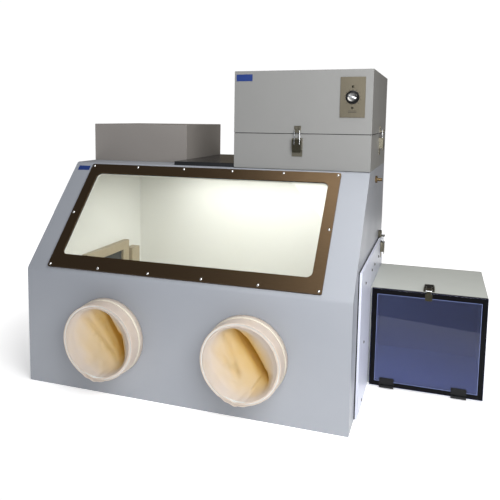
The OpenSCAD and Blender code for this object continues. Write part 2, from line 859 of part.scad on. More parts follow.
// Beige frame of the inlet filter on the left wall
module inlet_frame() {
    x0 = -half_w + wall;
    color("tan") difference() {
        block([x0, filter_y[0], filter_z[0]], [x0 + 22, filter_y[1], filter_z[1]]);
        block([x0 - eps, filter_y[0] + filter_rim[0], filter_z[0] + filter_rim[1]],
            [x0 + 23, filter_y[1] - filter_rim[0], filter_z[1] - filter_rim[1]]);
    }
}

// Dark filter pad that fills the frame
module inlet_pad() {
    x0 = -half_w + wall;
    color([0.15, 0.15, 0.14]) block([x0, filter_y[0] + filter_rim[0], filter_z[0] + filter_rim[1]],
        [x0 + 12, filter_y[1] - filter_rim[0], filter_z[1] - filter_rim[1]]);
}

module outlet_box() {
    x0 = -half_w + wall;
    color("tan") block([x0, 229, 180], [x0 + 34, 290, 295]);
}

// ---------- assembly ----------

floor_panel();
front_panel();
window_panel();
roof_panel();
left_side_panel();
right_side_panel();
back_panel();
roof_mat();
window_seal();
window_pane();
window_frame();
window_screws();
port_ring(-1);  // left_port_ring
port_ring(1);  // right_port_ring
cuff_bands();
glove(-1);  // left_glove
glove(1);  // right_glove
light_housing();
light_lens();
lamp_tubes();
lamp_holders();
filter_housing();
filter_seal();
blower_cover();
hepa_filter();
blower_scroll();
blower_motor();
impeller();
latch_bases();
latch_keepers();
front_latch_lever();
front_latch_bail();
side_latch_lever();
side_latch_bail();
flange_latch_lever();
flange_latch_bail();
door_latch_lever();
door_latch_bail();
door_latch_keeper();
control_plate();
control_screws();
speed_knob();
speed_control();
label_plates();
gas_fitting();
chamber_gasket();
chamber_flange();
flange_screws();
chamber_shell();
outer_door_seal();
outer_door();
hinge_bases();
outer_hinge_leaves();
inner_door();
inner_door_seal();
inner_hinge_leaves();
inner_door_handle();
inlet_frame();
inlet_pad();
outlet_box();
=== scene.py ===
# %% [markdown]
# # A laboratory glove box
# The real object is a welded steel cabinet with a sloped window, two latex gloves, a light hood,
# a filter and blower unit and a transfer chamber with a smoked door. The measured model comes in
# first as a fixed frame: every size and place below is read from it, so a new piece always fits.

# %% Load the frame
import json
import math

import bmesh
import bpy
from mathutils import Matrix, Vector, noise

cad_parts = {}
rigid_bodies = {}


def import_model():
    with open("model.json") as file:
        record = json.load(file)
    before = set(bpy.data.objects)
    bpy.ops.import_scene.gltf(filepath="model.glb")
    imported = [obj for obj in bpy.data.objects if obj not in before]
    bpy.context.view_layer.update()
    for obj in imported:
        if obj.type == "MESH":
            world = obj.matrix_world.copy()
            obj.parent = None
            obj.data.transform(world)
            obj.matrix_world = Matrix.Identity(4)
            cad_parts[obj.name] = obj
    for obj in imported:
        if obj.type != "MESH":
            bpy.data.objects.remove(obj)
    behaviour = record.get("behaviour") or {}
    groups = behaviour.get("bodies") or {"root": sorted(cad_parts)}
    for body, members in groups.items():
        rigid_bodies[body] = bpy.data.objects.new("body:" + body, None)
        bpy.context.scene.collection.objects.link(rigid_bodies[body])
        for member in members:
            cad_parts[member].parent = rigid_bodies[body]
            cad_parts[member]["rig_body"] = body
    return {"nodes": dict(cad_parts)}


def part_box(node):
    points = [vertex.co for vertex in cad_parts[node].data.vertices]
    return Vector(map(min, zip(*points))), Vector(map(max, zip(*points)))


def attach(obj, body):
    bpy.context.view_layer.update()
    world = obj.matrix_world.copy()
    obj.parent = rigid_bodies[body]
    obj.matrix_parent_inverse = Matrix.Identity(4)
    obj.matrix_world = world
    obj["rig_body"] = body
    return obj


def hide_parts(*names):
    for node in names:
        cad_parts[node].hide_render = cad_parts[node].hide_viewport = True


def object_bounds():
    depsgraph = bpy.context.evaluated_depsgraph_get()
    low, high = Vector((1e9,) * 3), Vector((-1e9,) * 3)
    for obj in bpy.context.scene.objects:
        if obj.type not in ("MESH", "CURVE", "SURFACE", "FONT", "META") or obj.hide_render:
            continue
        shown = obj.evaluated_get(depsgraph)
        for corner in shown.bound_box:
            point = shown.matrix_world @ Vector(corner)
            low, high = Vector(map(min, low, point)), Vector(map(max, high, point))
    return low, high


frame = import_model()
nodes = frame["nodes"]
cad_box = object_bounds()
MM = 0.001
print("glove box", [round(v, 3) for v in cad_box[1] - cad_box[0]], "m,", len(nodes), "CAD nodes")

# %% [markdown]
# The camera stands to the right of the cabinet, a little above the window, with a normal lens.
# A small lens shift keeps the upright edges close to upright, as an architect's camera does.

# %% Camera
scene = bpy.context.scene
camera = bpy.data.objects.new("camera", bpy.data.cameras.new("camera"))
scene.collection.objects.link(camera)
camera.data.lens = 44.55
camera.data.shift_x, camera.data.shift_y = 0.08, -0.12
camera.location = (0.6625, -1.8835, 0.7979)
camera.rotation_euler = [math.radians(a) for a in (83.416, -0.476, 20.404)]
scene.camera = camera
scene.view_settings.view_transform = "Standard"
print("camera", camera.data.lens, "mm lens at", tuple(round(v, 2) for v in camera.location))

# %% [markdown]
# The key is a soft box close to the right of the cabinet's front, so its light falls off along the
# front and leaves the left a good stop darker. A second box fills from overhead, and the room
# behind is darker, which gives the right-hand sides their shade. White paper lies under the
# cabinet and ends 40 cm before it, and glossy parts show where it ends: the smoked door is lighter
# below that line and darker above, and its haze is painted lighter still towards its foot.
# Rays straight from the camera see plain white.


# %% Colours and nodes
def colour(code):
    """An sRGB hex colour as the linear values that Blender works in."""
    parts = [int(code[i:i + 2], 16) / 255 for i in (1, 3, 5)]
    return (*[c / 12.92 if c <= 0.04045 else ((c + 0.055) / 1.055) ** 2.4 for c in parts], 1)


def add_node(tree, kind, inputs=None, **settings):
    """A new node with its settings, and with its inputs set or linked."""
    made = tree.nodes.new(kind)
    for name, value in settings.items():
        setattr(made, name, value)
    for name, value in (inputs or {}).items():
        if isinstance(value, bpy.types.NodeSocket):
            tree.links.new(value, made.inputs[name])
        else:
            made.inputs[name].default_value = value
    return made


print("one white:", colour("#ffffff"))

# %% Room
world = bpy.data.worlds.new("studio_room")
scene.world = world
world.use_nodes = True
tree = world.node_tree
tree.nodes.clear()
# Strength of the room's light on its dark and its pale side, and of the floor beyond the paper
room_dark, room_pale, studio_glow = 0.14, 0.2, 0.75
direction = add_node(tree, "ShaderNodeTexCoord").outputs["Generated"]
towards_front = add_node(tree, "ShaderNodeVectorMath", {0: direction, 1: (0.1, -0.85, 0.5)},
                         operation="DOT_PRODUCT")
shade = add_node(tree, "ShaderNodeMapRange", {
    "Value": towards_front.outputs["Value"], "From Min": -0.9, "From Max": 0.8,
    "To Min": room_dark, "To Max": room_pale})
# The studio's own floor, beyond the paper's front edge
beyond = add_node(tree, "ShaderNodeVectorMath", {0: direction, 1: (0, -0.93, -0.37)},
                  operation="DOT_PRODUCT")
studio_floor = add_node(tree, "ShaderNodeMapRange", {
    "Value": beyond.outputs["Value"], "From Min": 0.86, "From Max": 0.94,
    "To Max": studio_glow})
around = add_node(tree, "ShaderNodeMath", {0: shade.outputs[0], 1: studio_floor.outputs[0]},
                  operation="ADD")
warmth = add_node(tree, "ShaderNodeMapRange", {
    "Value": towards_front.outputs["Value"], "From Min": -0.6, "From Max": 0.5})
tint = add_node(tree, "ShaderNodeMix", {
    0: warmth.outputs[0], 6: colour("#ffefd8"), 7: colour("#f4f7ff")}, data_type="RGBA")
seen = add_node(tree, "ShaderNodeLightPath").outputs["Is Camera Ray"]
strength = add_node(tree, "ShaderNodeMix", {0: seen, 2: around.outputs[0], 3: 1.03})
plain = add_node(tree, "ShaderNodeMix", {
    0: seen, 6: tint.outputs[2], 7: (1, 1, 1, 1)}, data_type="RGBA")
background = add_node(tree, "ShaderNodeBackground", {
    "Color": plain.outputs[2], "Strength": strength.outputs[0]})
add_node(tree, "ShaderNodeOutputWorld", {"Surface": background.outputs[0]})
print("a room lit from", room_dark, "to", room_pale)


# %% Lamps
def soft_box(name, place, target, size, power):
    """A square area lamp at a place, turned to face a target."""
    lamp = bpy.data.objects.new(name, bpy.data.lights.new(name, "AREA"))
    scene.collection.objects.link(lamp)
    lamp.data.size, lamp.data.energy = size, power
    lamp.location = place
    lamp.rotation_euler = (Vector(target) - Vector(place)).to_track_quat("-Z", "Y").to_euler()
    return lamp


soft_box("key_box", (0.78, -1.15, 1.0), (0.25, -0.25, 0.4), 0.9, 17.5)
soft_box("overhead_box", (0.7, -0.3, 2.6), (0.4, 0, 0.5), 1.5, 24)
# The cabinet's own lamps: an even sheet of light under the roof
roof_low, roof_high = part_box("roof_panel")
under_roof = Vector((0.1, (roof_low.y + roof_high.y) / 2 + 0.02, roof_low.z - 0.05))
glow = soft_box("cabinet_lamps", under_roof, under_roof - Vector((0, 0, 0.5)), 0.7, 3.0)
glow.data.shape, glow.data.size_y = "RECTANGLE", 0.24
glow.visible_camera = False
print("two soft boxes and the cabinet's lamps")

# %% Floor
floor_mesh = bmesh.new()
paper_edge = cad_box[0].y - 0.4
half_paper = 1.9
bmesh.ops.create_grid(floor_mesh, x_segments=1, y_segments=1, size=half_paper,
                      matrix=Matrix.Rotation(math.radians(12), 4, "Z")
                      @ Matrix.Translation((0, paper_edge + half_paper, 0)))
floor = bpy.data.objects.new("studio_floor", bpy.data.meshes.new("studio_floor"))
floor_mesh.to_mesh(floor.data)
scene.collection.objects.link(floor)
paper = bpy.data.materials.new("white_backdrop_paper")
paper.use_nodes = True
paper_shader = paper.node_tree.nodes["Principled BSDF"]
paper_shader.inputs["Base Color"].default_value = colour("#f4f4f4")
paper_shader.inputs["Roughness"].default_value = 0.9
paper_shader.inputs["Emission Color"].default_value = (1, 1, 1, 1)
# Its own glow rises away from the cabinet, so the far paper melts into the white room
spot = add_node(paper.node_tree, "ShaderNodeTexCoord").outputs["Object"]
away = add_node(paper.node_tree, "ShaderNodeVectorMath", {0: spot}, operation="LENGTH")
brighter = add_node(paper.node_tree, "ShaderNodeMapRange", {
    "Value": away.outputs["Value"], "From Min": 0.6, "From Max": 1.3, "To Min": 0.5, "To Max": 1.0})
paper.node_tree.links.new(brighter.outputs[0], paper_shader.inputs["Emission Strength"])
floor.data.materials.append(paper)
print("floor", tuple(round(v) for v in floor.dimensions))

# %% [markdown]
# Most finishes here share one recipe: a base colour that drifts a little over a hand's width, a
# roughness that drifts with it as handling leaves it, and a fine bump for the skin of the paint or
# the moulding. Patterns read Object coordinates, so their scale is real: a size of 2 mm is 2 mm.


# %% Finishes from one recipe
def new_material(name, **sockets):
    """A material with one Principled shader, its plain values set on its own sockets."""
    made = bpy.data.materials.new(name)
    made.use_nodes = True
    shader = made.node_tree.nodes["Principled BSDF"]
    for socket, value in sockets.items():
        shader.inputs[socket.replace("_", " ")].default_value = value
    return made, made.node_tree, shader


def coated(name, pale, deep, rough, drift=220, grain=2.5, relief=0.03, **sockets):
    """A surface whose tone and gloss drift over drift mm, with a skin of grain mm and relief mm."""
    made, tree, shader = new_material(name, **sockets)
    place = add_node(tree, "ShaderNodeTexCoord").outputs["Object"]
    cloud = add_node(tree, "ShaderNodeTexNoise", {
        "Vector": place, "Scale": 1 / (drift * MM), "Detail": 4.0, "Roughness": 0.55})
    tone = add_node(tree, "ShaderNodeMix", {0: cloud.outputs[0], 6: colour(pale), 7: colour(deep)},
                    data_type="RGBA")
    tree.links.new(tone.outputs[2], shader.inputs["Base Color"])
    gloss = add_node(tree, "ShaderNodeMapRange", {
        "Value": cloud.outputs[0], "From Min": 0.3, "From Max": 0.7,
        "To Min": rough - 0.04, "To Max": rough + 0.05})
    tree.links.new(gloss.outputs[0], shader.inputs["Roughness"])
    skin = add_node(tree, "ShaderNodeTexNoise", {
        "Vector": place, "Scale": 1 / (grain * MM), "Detail": 2.0})
    bump = add_node(tree, "ShaderNodeBump", {
        "Height": skin.outputs[0], "Strength": 0.6, "Distance": relief * MM})
    tree.links.new(bump.outputs[0], shader.inputs["Normal"])
    return made


# Baked enamel on sheet steel, sprayed: satin, with the faint ripple known as orange peel
cabinet_enamel = coated("baked_enamel_pale_blue_grey", "#a0a3a9", "#989ca3", 0.36, grain=3,
                        relief=0.04, Specular_IOR_Level=0.22)
inner_enamel = coated("baked_enamel_white_inside", "#e2e2dd", "#dadad3", 0.4, grain=3, relief=0.04)
unit_enamel = coated("baked_enamel_filter_unit", "#8d8d8b", "#858583", 0.38, grain=3, relief=0.04,
                     Specular_IOR_Level=0.22)
hood_enamel = coated("baked_enamel_light_hood", "#95908b", "#8b8681", 0.38, grain=3, relief=0.04,
                     Specular_IOR_Level=0.25)
flange_enamel = coated("baked_enamel_flange_white", "#dcdfed", "#d2d6e6", 0.36, grain=3,
                       relief=0.03, Specular_IOR_Level=0.3)
chamber_enamel = coated("baked_enamel_chamber", "#c9ccc6", "#bfc2bc", 0.38, grain=3, relief=0.04,
                        Specular_IOR_Level=0.3)
beige_enamel = coated("stove_enamel_beige", "#a89b80", "#988b70", 0.45, grain=2.5, relief=0.04)
# Moulded and cast rubber: no shine to speak of, fine pits, a grey bloom from age
seal_rubber = coated("moulded_epdm_rubber", "#1b1b1c", "#242425", 0.6, drift=60, grain=1.2,
                     relief=0.05, Specular_IOR_Level=0.4)
mat_rubber = coated("calendered_rubber_mat", "#16171a", "#101113", 0.2, drift=120, grain=2,
                    relief=0.02)
band_rubber = coated("moulded_rubber_band_ivory", "#e3dccb", "#d8cfba", 0.5, drift=40, grain=1,
                     relief=0.03)
# Moulded plastics: PVC rings, ceramic lamp sockets, a powder-coated motor body
ring_plastic = coated("turned_pvc_white", "#e6e6e2", "#dcdcd6", 0.38, drift=80, grain=0.8,
                      relief=0.02)
socket_plastic = coated("moulded_urea_sockets", "#e8e4d8", "#ddd8c8", 0.4, drift=40, grain=1)
hinge_plastic = coated("moulded_acetal_black", "#0e0e0f", "#161617", 0.42, drift=30, grain=0.9,
                       relief=0.03, Specular_IOR_Level=0.2)
motor_enamel = coated("cast_motor_black_enamel", "#1c1d1f", "#26272a", 0.5, drift=30, grain=1.5)
filter_paper = coated("pleated_glass_paper", "#e9e8e2", "#dcdad2", 0.8, drift=30, grain=1.2,
                      relief=0.1)
filter_felt = coated("black_filter_felt", "#232420", "#3a3b35", 0.9, drift=12, grain=1.6,
                     relief=0.5)
knob_black = coated("moulded_phenolic_black", "#0a0a0b", "#101011", 0.36, drift=30, grain=0.8,
                    relief=0.015, Specular_IOR_Level=0.3)
print(len(bpy.data.materials), "finishes so far")

# %% [markdown]
# Bare metals need one thing that paint doesn't: the direction of the last tool. Rolled and brushed
# sheet is scratched along one line, so its noise is stretched a hundredfold along that line.


# %% Metals
def scratched(name, pale, deep, rough, grain=(0.4, 0.4, 40), relief=0.01, **sockets):
    """Bare metal whose scratches are grain mm long in X, Y and Z."""
    made, tree, shader = new_material(name, Metallic=1.0, **sockets)
    place = add_node(tree, "ShaderNodeTexCoord").outputs["Object"]
    stretch = add_node(tree, "ShaderNodeMapping", {
        "Vector": place, "Scale": [1 / (g * MM) for g in grain]})
    lines = add_node(tree, "ShaderNodeTexNoise", {
        "Vector": stretch.outputs[0], "Scale": 1.0, "Detail": 3.0, "Roughness": 0.6})
    tone = add_node(tree, "ShaderNodeMix", {0: lines.outputs[0], 6: colour(pale), 7: colour(deep)},
                    data_type="RGBA")
    tree.links.new(tone.outputs[2], shader.inputs["Base Color"])
    gloss = add_node(tree, "ShaderNodeMapRange", {
        "Value": lines.outputs[0], "From Min": 0.3, "From Max": 0.7,
        "To Min": rough - 0.08, "To Max": rough + 0.08})
    tree.links.new(gloss.outputs[0], shader.inputs["Roughness"])
    bump = add_node(tree, "ShaderNodeBump", {
        "Height": lines.outputs[0], "Strength": 0.5, "Distance": relief * MM})
    tree.links.new(bump.outputs[0], shader.inputs["Normal"])
    return made


# Bronze anodised aluminium extrusion, brushed along its length: brown, with a soft metal sheen
frame_bronze = scratched("bronze_anodised_aluminium", "#6d5a44", "#584734", 0.36,
                         grain=(30, 0.5, 0.5), relief=0.006)
# Brushed stainless sheet for the control plate, upright brush lines, warm from its lacquer
brushed_plate = scratched("brushed_stainless_plate", "#6d675a", "#5a5548", 0.5,
                          grain=(0.35, 0.35, 25), relief=0.01)
# Zinc plate on pressed latch parts, its yellow chromate faded to olive and a little cloudy
zinc_plate = scratched("yellowed_zinc_plate", "#7f7b6d", "#615d50", 0.34, grain=(2, 2, 2))
# The levers on the front and on the flange have lost more of their plating and are darker
dark_zinc = scratched("dull_zinc_plate", "#4a473a", "#34322a", 0.36, grain=(2, 2, 2))
spring_wire = scratched("drawn_stainless_wire", "#dadbdc", "#c3c5c7", 0.2, grain=(0.5, 0.5, 8))
screw_steel = scratched("turned_stainless_screws", "#e2e2e0", "#cfcfcc", 0.2, grain=(0.4, 0.4, 0.4))
flange_screw_steel = scratched("blackened_steel_screws", "#8c8c8a", "#6d6d6b", 0.35,
                               grain=(0.5, 0.5, 0.5))
galvanised = scratched("galvanised_sheet", "#c4c8cb", "#9fa5a9", 0.42, grain=(12, 12, 12))
turned_brass = scratched("turned_brass", "#76644a", "#584933", 0.4, grain=(8, 0.3, 0.3))
handle_steel = scratched("polished_stainless_bar", "#dedfdf", "#cacccc", 0.18, grain=(0.5, 0.5, 6))
spun_aluminium = scratched("spun_aluminium_disc", "#7c7b78", "#6b6a68", 0.26, grain=(3, 3, 0.3))
print("metals done,", len(bpy.data.materials), "finishes")

# %% [markdown]
# Clear and smoked acrylic are thin here, so they are not solid glass: a Transparent shader lets
# the lamps and the eye straight through, and a glossy layer gives the shine. Its share follows
# Schlick's rule, nearly 4% head on and all of it at a grazing view, the same from both sides.
# The smoked sheet keeps some haze of its own, the blue-grey that it shows against the dark.


# %% Acrylic sheets
def acrylic(name, tint, haze, haze_share, rough, painted_floor_reflection=None):
    """A thin sheet: tint for what passes through, haze for what the sheet itself shows.

    A foot of (low, high, share) makes the haze grow to share between the heights high and low:
    a painted reflection of the pale floor, so the sheet is lighter towards its foot.
    """
    made = bpy.data.materials.new(name)
    made.use_nodes = True
    tree = made.node_tree
    tree.nodes.clear()
    through = add_node(tree, "ShaderNodeBsdfTransparent", {"Color": colour(tint)})
    cloud = add_node(tree, "ShaderNodeBsdfDiffuse", {"Color": colour(haze)})
    place = add_node(tree, "ShaderNodeTexCoord").outputs["Object"]
    body = add_node(tree, "ShaderNodeMixShader", {
        0: haze_share, 1: through.outputs[0], 2: cloud.outputs[0]})
    if painted_floor_reflection:
        height = add_node(tree, "ShaderNodeSeparateXYZ", {0: place}).outputs["Z"]
        # Painted reflection: more pale haze lower down, where the floor would be mirrored
        painted_reflection_haze = add_node(tree, "ShaderNodeMapRange", {
            "Value": height, "From Min": painted_floor_reflection[0], "From Max": painted_floor_reflection[1],
            "To Min": painted_floor_reflection[2], "To Max": haze_share})
        tree.links.new(painted_reflection_haze.outputs[0], body.inputs[0])
    smears = add_node(tree, "ShaderNodeTexNoise", {
        "Vector": place, "Scale": 1 / (111 * MM), "Detail": 3.0})
    gloss = add_node(tree, "ShaderNodeMapRange", {
        "Value": smears.outputs[0], "To Min": rough, "To Max": rough + 0.03})
    shine = add_node(tree, "ShaderNodeBsdfGlossy", {"Roughness": gloss.outputs[0]})
    away = add_node(tree, "ShaderNodeLayerWeight", {"Blend": 0.5}).outputs["Facing"]
    grazing = add_node(tree, "ShaderNodeMath", {0: away, 1: 5.0}, operation="POWER")
    mirror = add_node(tree, "ShaderNodeMapRange", {"Value": grazing.outputs[0], "To Min": 0.036})
    sheet = add_node(tree, "ShaderNodeMixShader", {
        0: mirror.outputs[0], 1: body.outputs[0], 2: shine.outputs[0]})
    add_node(tree, "ShaderNodeOutputMaterial", {"Surface": sheet.outputs[0]})
    return made


clear_acrylic = acrylic("cast_acrylic_clear", "#fbfcfb", "#ffffff", 0.01, 0.02)
door_low, door_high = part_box("outer_door")
# The smoked door's haze is painted thicker over its lowest 20 cm, a painted reflection of the floor
smoked_acrylic = acrylic("cast_acrylic_smoked", "#959ec6", "#6372b4", 0.04, 0.0,
                         (door_low.z, door_low.z + 0.2, 0.2))
diffuser = acrylic("opal_acrylic_diffuser", "#ffffff", "#ffffff", 0.6, 0.3)
lamp_glass = coated("fluorescent_lamp_glass", "#fbfbf6", "#f4f4ee", 0.25, drift=50, grain=1)
label_enamel = coated("printed_blank_label_blue", "#1f3a7c", "#1a3270", 0.35, drift=20, grain=0.6,
                      relief=0.01)
print("acrylic and label done")

# %% [markdown]
# The measured solids are right in size but their edges are sharp to the last hair, which no real
# part is. Each one is copied, its loose triangles are merged and flat areas joined, and a Bevel
# modifier rounds its edges by the radius that the real process leaves: 0.3 mm on a pressed latch,
# 1 mm on acrylic, 2 mm on welded and ground sheet. The copy then stands for the measured node.


# %% Finished copies of measured parts
def merged(names):
    """One bmesh from copies of CAD nodes, with triangles merged and flat areas joined."""
    shape = bmesh.new()
    for name in names:
        shape.from_mesh(nodes[name].data)
    bmesh.ops.remove_doubles(shape, verts=shape.verts, dist=0.00002)
    bmesh.ops.dissolve_limit(shape, angle_limit=math.radians(0.3), verts=shape.verts,
                             edges=shape.edges)
    return shape


def place_piece(shape, name, materials, body, stands_for=()):
    """The bmesh as an object that rides on a body, with its materials; it hides the CAD nodes it
    stands for.
    """
    made = bpy.data.objects.new(name, bpy.data.meshes.new(name))
    shape.to_mesh(made.data)
    shape.free()
    for material in materials:
        made.data.materials.append(material)
    scene.collection.objects.link(made)
    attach(made, body)
    if stands_for:
        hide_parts(*stands_for)
    return made


def soften(piece, radius, smooth=35, segments=2):
    """Rounds a piece's edges by radius mm and shades its curved faces smooth."""
    piece.data.shade_smooth()
    piece.data.set_sharp_from_angle(angle=math.radians(smooth))
    if radius:
        step = piece.modifiers.new("edge_radius", "BEVEL")
        step.width, step.segments = radius * MM, segments
        step.limit_method, step.angle_limit = "ANGLE", math.radians(smooth)
        step.harden_normals = True
    return piece


def finished(name, material, radius, smooth=35):
    """A CAD node as a softened copy with its finish."""
    body = nodes[name]["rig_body"]
    piece = place_piece(merged([name]), name + "_finished", [material], body, [name])
    return soften(piece, radius, smooth)


print("copies are merged, softened and ride on their bodies")

# %% [markdown]
# The cabinet is welded from folded sheet, ground flush and enamelled as one, so no joint shows.
# The panels are joined with a Boolean union, which removes the faces inside the joints, and then
# bevelled together. Faces that look into the cabinet get the white inside enamel.

# %% Cabinet shell
shell_panels = ["front_panel", "window_panel", "roof_panel", "left_side_panel",
                "right_side_panel", "back_panel"]
shell = bpy.data.objects.new("shell_blank", bpy.data.meshes.new("shell_blank"))
merged(shell_panels[:1]).to_mesh(shell.data)
scene.collection.objects.link(shell)
helpers = []
for name in shell_panels[1:]:
    part = bpy.data.objects.new("blank_" + name, bpy.data.meshes.new("blank_" + name))
    merged([name]).to_mesh(part.data)
    scene.collection.objects.link(part)
    union = shell.modifiers.new(name, "BOOLEAN")
    union.operation, union.solver, union.object = "UNION", "EXACT", part
    helpers.append(part)
evaluated = shell.evaluated_get(bpy.context.evaluated_depsgraph_get())
joined = bpy.data.meshes.new_from_object(evaluated)
for blank in [shell, *helpers]:
    bpy.data.objects.remove(blank)
shape = bmesh.new()
shape.from_mesh(joined)
bmesh.ops.remove_doubles(shape, verts=shape.verts, dist=0.00005)
bmesh.ops.dissolve_limit(shape, angle_limit=math.radians(0.3), verts=shape.verts,
                         edges=shape.edges)
inside_low, inside_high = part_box("floor_panel")
middle = Vector((0, 0.05, 0.3))
for face in shape.faces:
    centre = face.calc_center_median()
    within = (inside_low.x - MM < centre.x < inside_high.x + MM
              and centre.y < inside_high.y + MM)
    # A face of the inside looks towards the middle of the cabinet
    face.material_index = int(within and face.normal.dot(middle - centre) > 4 * MM)
cabinet = place_piece(shape, "cabinet_shell", [cabinet_enamel, inner_enamel], "cabinet",
                      shell_panels)
soften(cabinet, 2.2, segments=3)
finished("floor_panel", inner_enamel, 0.8)
shell_faces = cabinet.data.polygons
print("shell faces", len(shell_faces), "inside", sum(p.material_index for p in shell_faces))

# %% [markdown]
# Every other measured part has one line here: its finish and its edge radius in millimetres.

# %% One line for each finished part
finished("roof_mat", mat_rubber, 1.5)
finished("window_seal", seal_rubber, 0.2)
finished("window_pane", clear_acrylic, 0.5)
finished("window_frame", frame_bronze, 1.2)
finished("window_screws", screw_steel, 0)
finished("light_housing", hood_enamel, 1.8)
finished("light_lens", diffuser, 0.8)
finished("lamp_tubes", lamp_glass, 2)
finished("lamp_holders", socket_plastic, 1.5)
finished("filter_housing", unit_enamel, 1.6)
finished("filter_seal", seal_rubber, 0.3)
finished("blower_cover", unit_enamel, 1.8)
finished("hepa_filter", filter_paper, 1.5)
finished("blower_scroll", galvanised, 0.5)
finished("blower_motor", motor_enamel, 1)
finished("impeller", galvanised, 0.2)
finished("latch_bases", zinc_plate, 0.3)
finished("latch_keepers", zinc_plate, 0.3)
latch_finishes = {"front": (dark_zinc, "latch_dark"), "side": (zinc_plate, "latch_steel"),
                  "flange": (dark_zinc, "latch_steel"), "door": (hinge_plastic, "latch_dark")}
for place, (metal, slot_name) in latch_finishes.items():
    finished(place + "_latch_lever", metal, 0.35)
    finished(place + "_latch_bail", spring_wire, 0)
finished("door_latch_keeper", dark_zinc, 0.3)
finished("control_plate", brushed_plate, 1.6)
finished("control_screws", dark_zinc, 0)
finished("speed_control", hinge_plastic, 1)
finished("label_plates", label_enamel, 0.15)
finished("gas_fitting", turned_brass, 0.5)
finished("chamber_gasket", seal_rubber, 0.3)
finished("chamber_flange", flange_enamel, 1.5)
finished("flange_screws", flange_screw_steel, 0)
finished("chamber_shell", chamber_enamel, 2)
finished("outer_door_seal", seal_rubber, 0.5)
finished("outer_door", smoked_acrylic, 1)
finished("hinge_bases", hinge_plastic, 0.4)
finished("outer_hinge_leaves", hinge_plastic, 0.4)
finished("inner_door", clear_acrylic, 1)
finished("inner_door_seal", seal_rubber, 0.5)
finished("inner_hinge_leaves", hinge_plastic, 0.4)
finished("inner_door_handle", handle_steel, 0.4)
finished("inlet_frame", beige_enamel, 1.5)
finished("inlet_pad", filter_felt, 1)
finished("outlet_box", beige_enamel, 1.5)
for side in ("left", "right"):
    finished(side + "_port_ring", ring_plastic, 1)
finished("cuff_bands", band_rubber, 0.6)

# %% [markdown]
# A dry-box glove is dipped latex, under a millimetre thick. Its cuff is rolled over the port's ring
# and its sleeve falls back through the ring, collapsing in broad slanted folds. The skin is one
# circle of edges, extruded ring by ring along the arm: each ring's width, slant and folds are
# worked out from how deep it lies. Extruding keeps the skin one surface from cuff to wrist.

# %% Latex: where a point of the skin lies
latex, tree, latex_shader = new_material("dipped_natural_latex", Roughness=0.45)
latex_shader.inputs["Sheen Weight"].default_value = 0.15
place = add_node(tree, "ShaderNodeTexCoord").outputs["Object"]
port_low, port_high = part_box("right_glove")
port_r = (port_high.x - port_low.x) / 2
port_x, port_z = port_low.x + port_r, port_high.z - port_r
panel_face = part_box("front_panel")[0].y
split = add_node(tree, "ShaderNodeSeparateXYZ", {0: place})
# Both gloves share this: how far inside its ring a point lies, and how far behind the ring's rim.
# This depth paints the amber of light through the folds.
either_side = add_node(tree, "ShaderNodeMath", {0: split.outputs["X"]}, operation="ABSOLUTE")
flat_place = add_node(tree, "ShaderNodeCombineXYZ", {
    "X": either_side.outputs[0], "Z": split.outputs["Z"]})
from_axis = add_node(tree, "ShaderNodeVectorMath", {
    0: flat_place.outputs[0], 1: (port_x, 0, port_z)}, operation="DISTANCE")
inside_ring = add_node(tree, "ShaderNodeMapRange", {
    "Value": from_axis.outputs["Value"], "From Min": 0.1, "From Max": 0.09})
depth_share = add_node(tree, "ShaderNodeMapRange", {
    "Value": split.outputs["Y"], "From Min": port_low.y + 0.002, "From Max": port_low.y + 0.055})
past_face = add_node(tree, "ShaderNodeMapRange", {
    "Value": split.outputs["Y"], "From Min": panel_face + 0.004, "From Max": panel_face + 0.02})
inner = add_node(tree, "ShaderNodeMath", {
    0: inside_ring.outputs[0], 1: past_face.outputs[0]}, operation="MAXIMUM")
within = add_node(tree, "ShaderNodeMath", {
    0: depth_share.outputs[0], 1: inner.outputs[0]}, operation="MULTIPLY")
print("a port's radius", round(port_r, 4), "m, its axis", round(port_x, 3), "m off the middle")

# %% Latex: powder, painted amber deep in the sleeve, and light through the skin
powder = add_node(tree, "ShaderNodeTexNoise", {
    "Vector": place, "Scale": 1 / (35.7 * MM), "Detail": 4.0})
mottle = add_node(tree, "ShaderNodeMath", {0: powder.outputs[0], 1: -0.5}, operation="ADD")
# Random powder mottle plus the depth mask, which paints amber light and shade deep in the sleeve
mottle_and_painted_amber = add_node(tree, "ShaderNodeMath", {
    0: mottle.outputs[0], 1: 0.35, 2: within.outputs[0]}, operation="MULTIPLY_ADD",
    use_clamp=True)
# Pale at the cuff and amber deeper in: the amber is painted light, as if shining through layered
# folds
latex_tone_with_painted_amber = add_node(tree, "ShaderNodeMix", {
    0: mottle_and_painted_amber.outputs[0], 6: colour("#ece2d8"), 7: colour("#eed389")}, data_type="RGBA")
tree.links.new(latex_tone_with_painted_amber.outputs[2], latex_shader.inputs["Base Color"])
wrinkles = add_node(tree, "ShaderNodeTexNoise", {
    "Vector": place, "Scale": 1 / (6.25 * MM), "Detail": 3.0, "Distortion": 0.8})
bump = add_node(tree, "ShaderNodeBump", {
    "Height": wrinkles.outputs[0], "Strength": 0.35, "Distance": 0.4 * MM})
tree.links.new(bump.outputs[0], latex_shader.inputs["Normal"])
glow_through = add_node(tree, "ShaderNodeBsdfTranslucent", {"Color": latex_tone_with_painted_amber.outputs[2]})
skin = add_node(tree, "ShaderNodeMixShader", {
    0: 0.5, 1: latex_shader.outputs[0], 2: glow_through.outputs[0]})
tree.links.new(skin.outputs[0], tree.nodes["Material Output"].inputs[0])
print("latex mixes", len(tree.nodes), "nodes")


# %% Arm line and folds
def between(value, low, high):
    """0 below low, 1 above high and a smooth step between them."""
    share = min(1, max(0, (value - low) / (high - low)))
    return share * share * (3 - 2 * share)


